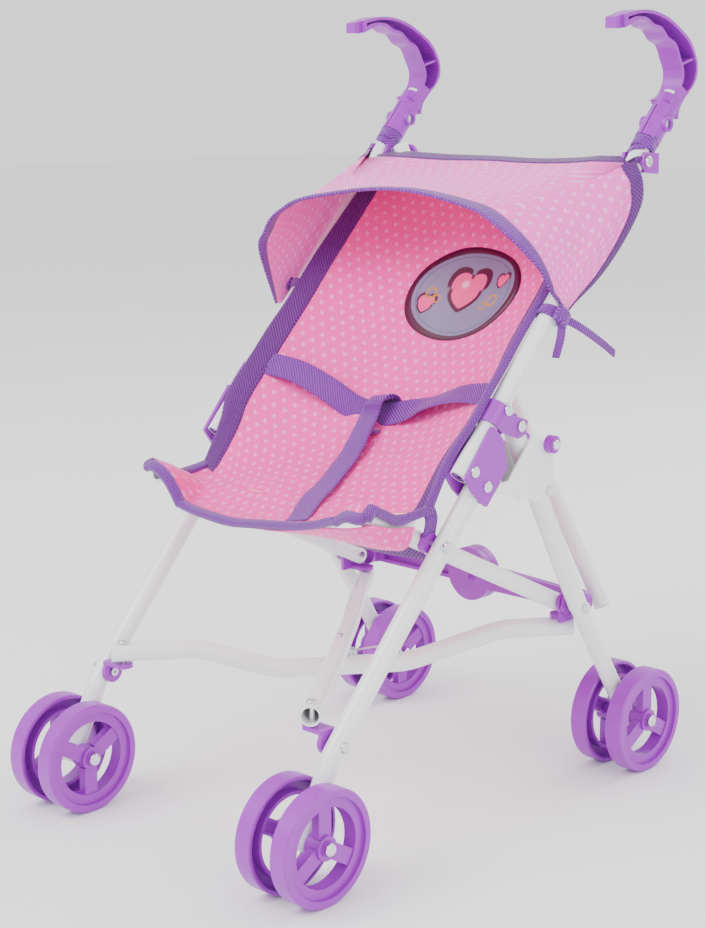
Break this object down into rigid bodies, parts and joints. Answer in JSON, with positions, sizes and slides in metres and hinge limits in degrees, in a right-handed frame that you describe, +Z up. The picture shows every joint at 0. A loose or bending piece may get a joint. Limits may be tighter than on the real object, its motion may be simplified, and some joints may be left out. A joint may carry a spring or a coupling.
{
  "type": "doll stroller",
  "caption": "Folding umbrella doll stroller with white tube frame, purple hook handles, twin spoked wheels, pink sling seat and hood.",
  "frame": {"origin": "centre of the footprint's box on the floor, under the wheels", "axes": "+Z up, -Y towards the front (the doll's feet), +X towards the doll's left"},
  "size_m": [0.2978, 0.4316, 0.558],
  "materials": {
    "white_paint": "gloss",
    "orchid_plastic": "gloss",
    "chrome": "polished",
    "pink_fabric": "woven",
    "hood_fabric": "woven",
    "webbing": "ribbed"
  },
  "bodies": {
    "frame_left": {"front_leg_left": "white_paint", "hinge_bracket_left": "orchid_plastic", "side_lock_left": "white_paint", "lock_knobs_left": "orchid_plastic", "front_leg_hardware_left": "chrome"},
    "frame_right": {"front_leg_right": "white_paint", "hinge_bracket_right": "orchid_plastic", "side_lock_right": "white_paint", "lock_knobs_right": "orchid_plastic", "front_leg_hardware_right": "chrome"},
    "handle_left": {"handle_tube_left": "white_paint", "upper_clamp_left": "orchid_plastic", "handle_fittings_left": "chrome", "handle_grip_left": "orchid_plastic", "back_sling": "pink_fabric", "hood": "hood_fabric", "harness": "webbing"},
    "rear_leg_left": {"rear_leg_left": "white_paint", "rear_leg_hardware_left": "chrome"},
    "rail_left": {"seat_rail_left": "white_paint", "rail_spacer_left": "orchid_plastic", "rail_pin_left": "chrome", "seat_sling": "pink_fabric"},
    "front_bracket_left": {"front_brace_bracket_left": "orchid_plastic", "brace_end_rivet_left": "chrome"},
    "rear_bracket_left": {"rear_brace_bracket_left": "orchid_plastic"},
    "knuckle_left": {"brace_knuckle_left": "orchid_plastic", "knuckle_pin_left": "chrome"},
    "clip_left": {"top_clip_left": "orchid_plastic"},
    "arm_left": {"stretcher_arm_left": "orchid_plastic", "hub_nut": "orchid_plastic"},
    "back_brace_from_left": {"back_brace_from_left": "white_paint"},
    "handle_right": {"handle_tube_right": "white_paint", "upper_clamp_right": "orchid_plastic", "handle_fittings_right": "chrome", "handle_grip_right": "orchid_plastic"},
    "rear_leg_right": {"rear_leg_right": "white_paint", "rear_leg_hardware_right": "chrome"},
    "rail_right": {"seat_rail_right": "white_paint", "rail_spacer_right": "orchid_plastic", "rail_pin_right": "chrome"},
    "front_bracket_right": {"front_brace_bracket_right": "orchid_plastic", "brace_end_rivet_right": "chrome"},
    "rear_bracket_right": {"rear_brace_bracket_right": "orchid_plastic"},
    "knuckle_right": {"brace_knuckle_right": "orchid_plastic", "knuckle_pin_right": "chrome"},
    "clip_right": {"top_clip_right": "orchid_plastic"},
    "arm_right": {"stretcher_arm_right": "orchid_plastic"},
    "back_brace_from_right": {"back_brace_from_right": "white_paint"},
    "straight_brace": {"straight_brace": "white_paint", "crossing_rivet": "chrome"},
    "curved_brace": {"curved_brace": "white_paint"},
    "front_outer_wheel_left": {"front_outer_wheel_left": "orchid_plastic"},
    "front_outer_wheel_right": {"front_outer_wheel_right": "orchid_plastic"},
    "front_inner_wheel_left": {"front_inner_wheel_left": "orchid_plastic"},
    "front_inner_wheel_right": {"front_inner_wheel_right": "orchid_plastic"},
    "rear_outer_wheel_left": {"rear_outer_wheel_left": "orchid_plastic"},
    "rear_outer_wheel_right": {"rear_outer_wheel_right": "orchid_plastic"},
    "rear_inner_wheel_left": {"rear_inner_wheel_left": "orchid_plastic"},
    "rear_inner_wheel_right": {"rear_inner_wheel_right": "orchid_plastic"}
  },
  "joints": [
    {"name": "frame_width", "type": "slide", "parent": "frame_left", "child": "frame_right", "axis": [1, 0, 0], "range_m": [0, 0.1421], "deforming": ["back_sling", "seat_sling", "hood", "harness"]},
    {"name": "handle_fold_left", "type": "hinge", "parent": "frame_left", "child": "handle_left", "pos_m": [0.12, -0.0274, 0.2555], "axis": [1, 0, 0], "range_deg": [0, 175]},
    {"name": "rear_leg_fold_left", "type": "hinge", "parent": "handle_left", "child": "rear_leg_left", "pos_m": [0.12, 0.0212, 0.2797], "axis": [1, 0, 0], "range_deg": [-71.65, 0]},
    {"name": "rail_fold_left", "type": "hinge", "parent": "frame_left", "child": "rail_left", "pos_m": [0.1006, -0.0504, 0.208], "axis": [1, 0, 0], "range_deg": [0, 81.24]},
    {"name": "front_bracket_turn_left", "type": "hinge", "parent": "frame_left", "child": "front_bracket_left", "pos_m": [0.105, -0.1458, 0.0938], "axis": [1, 0, 0], "range_deg": [0, 45.16]},
    {"name": "rear_bracket_turn_left", "type": "hinge", "parent": "rail_left", "child": "rear_bracket_left", "pos_m": [0.105, 0.0995, 0.136], "axis": [1, 0, 0], "range_deg": [-36.13, 0]},
    {"name": "knuckle_turn_left", "type": "hinge", "parent": "rail_left", "child": "knuckle_left", "pos_m": [0.105, 0.0995, 0.136], "axis": [1, 0, 0], "range_deg": [0, 62.38]},
    {"name": "clip_turn_left", "type": "hinge", "parent": "handle_left", "child": "clip_left", "pos_m": [0.118, 0.1558, 0.4531], "axis": [1, 0, 0], "range_deg": [-31.53, 0]},
    {"name": "arm_fold_left", "type": "hinge", "parent": "knuckle_left", "child": "arm_left", "pos_m": [0.106, 0.125, 0.1315], "axis": [0, 1, 0], "range_deg": [0, 69.7]},
    {"name": "back_brace_swing_left", "type": "hinge", "parent": "knuckle_left", "child": "back_brace_from_left", "pos_m": [0.106, 0.143, 0.1315], "axis": [0, 1, 0], "range_deg": [0, 23.05]},
    {"name": "handle_fold_right", "type": "hinge", "parent": "frame_right", "child": "handle_right", "pos_m": [-0.12, -0.0274, 0.2555], "axis": [1, 0, 0], "range_deg": [0, 175.05]},
    {"name": "rear_leg_fold_right", "type": "hinge", "parent": "handle_right", "child": "rear_leg_right", "pos_m": [-0.12, 0.0212, 0.2797], "axis": [1, 0, 0], "range_deg": [-71.65, 0]},
    {"name": "rail_fold_right", "type": "hinge", "parent": "frame_right", "child": "rail_right", "pos_m": [-0.1006, -0.0504, 0.208], "axis": [1, 0, 0], "range_deg": [0, 81.24]},
    {"name": "front_bracket_turn_right", "type": "hinge", "parent": "frame_right", "child": "front_bracket_right", "pos_m": [-0.105, -0.1458, 0.0938], "axis": [1, 0, 0], "range_deg": [0, 45.16]},
    {"name": "rear_bracket_turn_right", "type": "hinge", "parent": "rail_right", "child": "rear_bracket_right", "pos_m": [-0.105, 0.0995, 0.136], "axis": [1, 0, 0], "range_deg": [-36.13, 0]},
    {"name": "knuckle_turn_right", "type": "hinge", "parent": "rail_right", "child": "knuckle_right", "pos_m": [-0.105, 0.0995, 0.136], "axis": [1, 0, 0], "range_deg": [0, 62.38]},
    {"name": "clip_turn_right", "type": "hinge", "parent": "handle_right", "child": "clip_right", "pos_m": [-0.118, 0.1558, 0.4531], "axis": [1, 0, 0], "range_deg": [-31.53, 0]},
    {"name": "arm_fold_right", "type": "hinge", "parent": "knuckle_right", "child": "arm_right", "pos_m": [-0.106, 0.125, 0.1315], "axis": [0, 1, 0], "range_deg": [-69.7, 0]},
    {"name": "back_brace_swing_right", "type": "hinge", "parent": "knuckle_right", "child": "back_brace_from_right", "pos_m": [-0.106, 0.153, 0.1315], "axis": [0, 1, 0], "range_deg": [-23.05, 0]},
    {"name": "straight_brace_swing", "type": "hinge", "parent": "front_bracket_left", "child": "straight_brace", "pos_m": [0.0945, -0.146, 0.1107], "axis": [0, 0, 1], "range_deg": [-27.94, 0]},
    {"name": "curved_brace_swing", "type": "hinge", "parent": "front_bracket_right", "child": "curved_brace", "pos_m": [-0.0945, -0.146, 0.1107], "axis": [0, 0, 1], "range_deg": [0, 27.94]},
    {"name": "front_outer_wheel_left_spin", "type": "hinge", "parent": "frame_left", "child": "front_outer_wheel_left", "pos_m": [0.12, -0.1762, 0.039], "axis": [1, 0, 0], "continuous": true},
    {"name": "front_outer_wheel_right_spin", "type": "hinge", "parent": "frame_right", "child": "front_outer_wheel_right", "pos_m": [-0.12, -0.1762, 0.039], "axis": [1, 0, 0], "continuous": true},
    {"name": "front_inner_wheel_left_spin", "type": "hinge", "parent": "frame_left", "child": "front_inner_wheel_left", "pos_m": [0.12, -0.1762, 0.039], "axis": [1, 0, 0], "continuous": true},
    {"name": "front_inner_wheel_right_spin", "type": "hinge", "parent": "frame_right", "child": "front_inner_wheel_right", "pos_m": [-0.12, -0.1762, 0.039], "axis": [1, 0, 0], "continuous": true},
    {"name": "rear_outer_wheel_left_spin", "type": "hinge", "parent": "rear_leg_left", "child": "rear_outer_wheel_left", "pos_m": [0.12, 0.1606, 0.039], "axis": [1, 0, 0], "continuous": true},
    {"name": "rear_outer_wheel_right_spin", "type": "hinge", "parent": "rear_leg_right", "child": "rear_outer_wheel_right", "pos_m": [-0.12, 0.1606, 0.039], "axis": [1, 0, 0], "continuous": true},
    {"name": "rear_inner_wheel_left_spin", "type": "hinge", "parent": "rear_leg_left", "child": "rear_inner_wheel_left", "pos_m": [0.12, 0.1606, 0.039], "axis": [1, 0, 0], "continuous": true},
    {"name": "rear_inner_wheel_right_spin", "type": "hinge", "parent": "rear_leg_right", "child": "rear_inner_wheel_right", "pos_m": [-0.12, 0.1606, 0.039], "axis": [1, 0, 0], "continuous": true}
  ],
  "couplings": [
    {"joint": "frame_width", "follows": "handle_fold_left", "m_per_rad": 0.046491},
    {"joint": "rear_leg_fold_left", "follows": "handle_fold_left", "ratio": -0.40914},
    {"joint": "rail_fold_left", "follows": "handle_fold_left", "ratio": 0.46392},
    {"joint": "front_bracket_turn_left", "follows": "handle_fold_left", "ratio": 0.25777},
    {"joint": "rear_bracket_turn_left", "follows": "handle_fold_left", "ratio": -0.20615},
    {"joint": "knuckle_turn_left", "follows": "handle_fold_left", "ratio": 0.35619},
    {"joint": "clip_turn_left", "follows": "handle_fold_left", "ratio": -0.17989},
    {"joint": "arm_fold_left", "follows": "handle_fold_left", "ratio": 0.398},
    {"joint": "back_brace_swing_left", "follows": "handle_fold_left", "ratio": 0.13143},
    {"joint": "handle_fold_right", "follows": "handle_fold_left", "ratio": 1},
    {"joint": "rear_leg_fold_right", "follows": "handle_fold_left", "ratio": -0.40914},
    {"joint": "rail_fold_right", "follows": "handle_fold_left", "ratio": 0.46392},
    {"joint": "front_bracket_turn_right", "follows": "handle_fold_left", "ratio": 0.25777},
    {"joint": "rear_bracket_turn_right", "follows": "handle_fold_left", "ratio": -0.20615},
    {"joint": "knuckle_turn_right", "follows": "handle_fold_left", "ratio": 0.35619},
    {"joint": "clip_turn_right", "follows": "handle_fold_left", "ratio": -0.17989},
    {"joint": "arm_fold_right", "follows": "handle_fold_left", "ratio": -0.398},
    {"joint": "back_brace_swing_right", "follows": "handle_fold_left", "ratio": -0.13143},
    {"joint": "straight_brace_swing", "follows": "handle_fold_left", "ratio": -0.15937},
    {"joint": "curved_brace_swing", "follows": "handle_fold_left", "ratio": 0.15937}
  ]
}
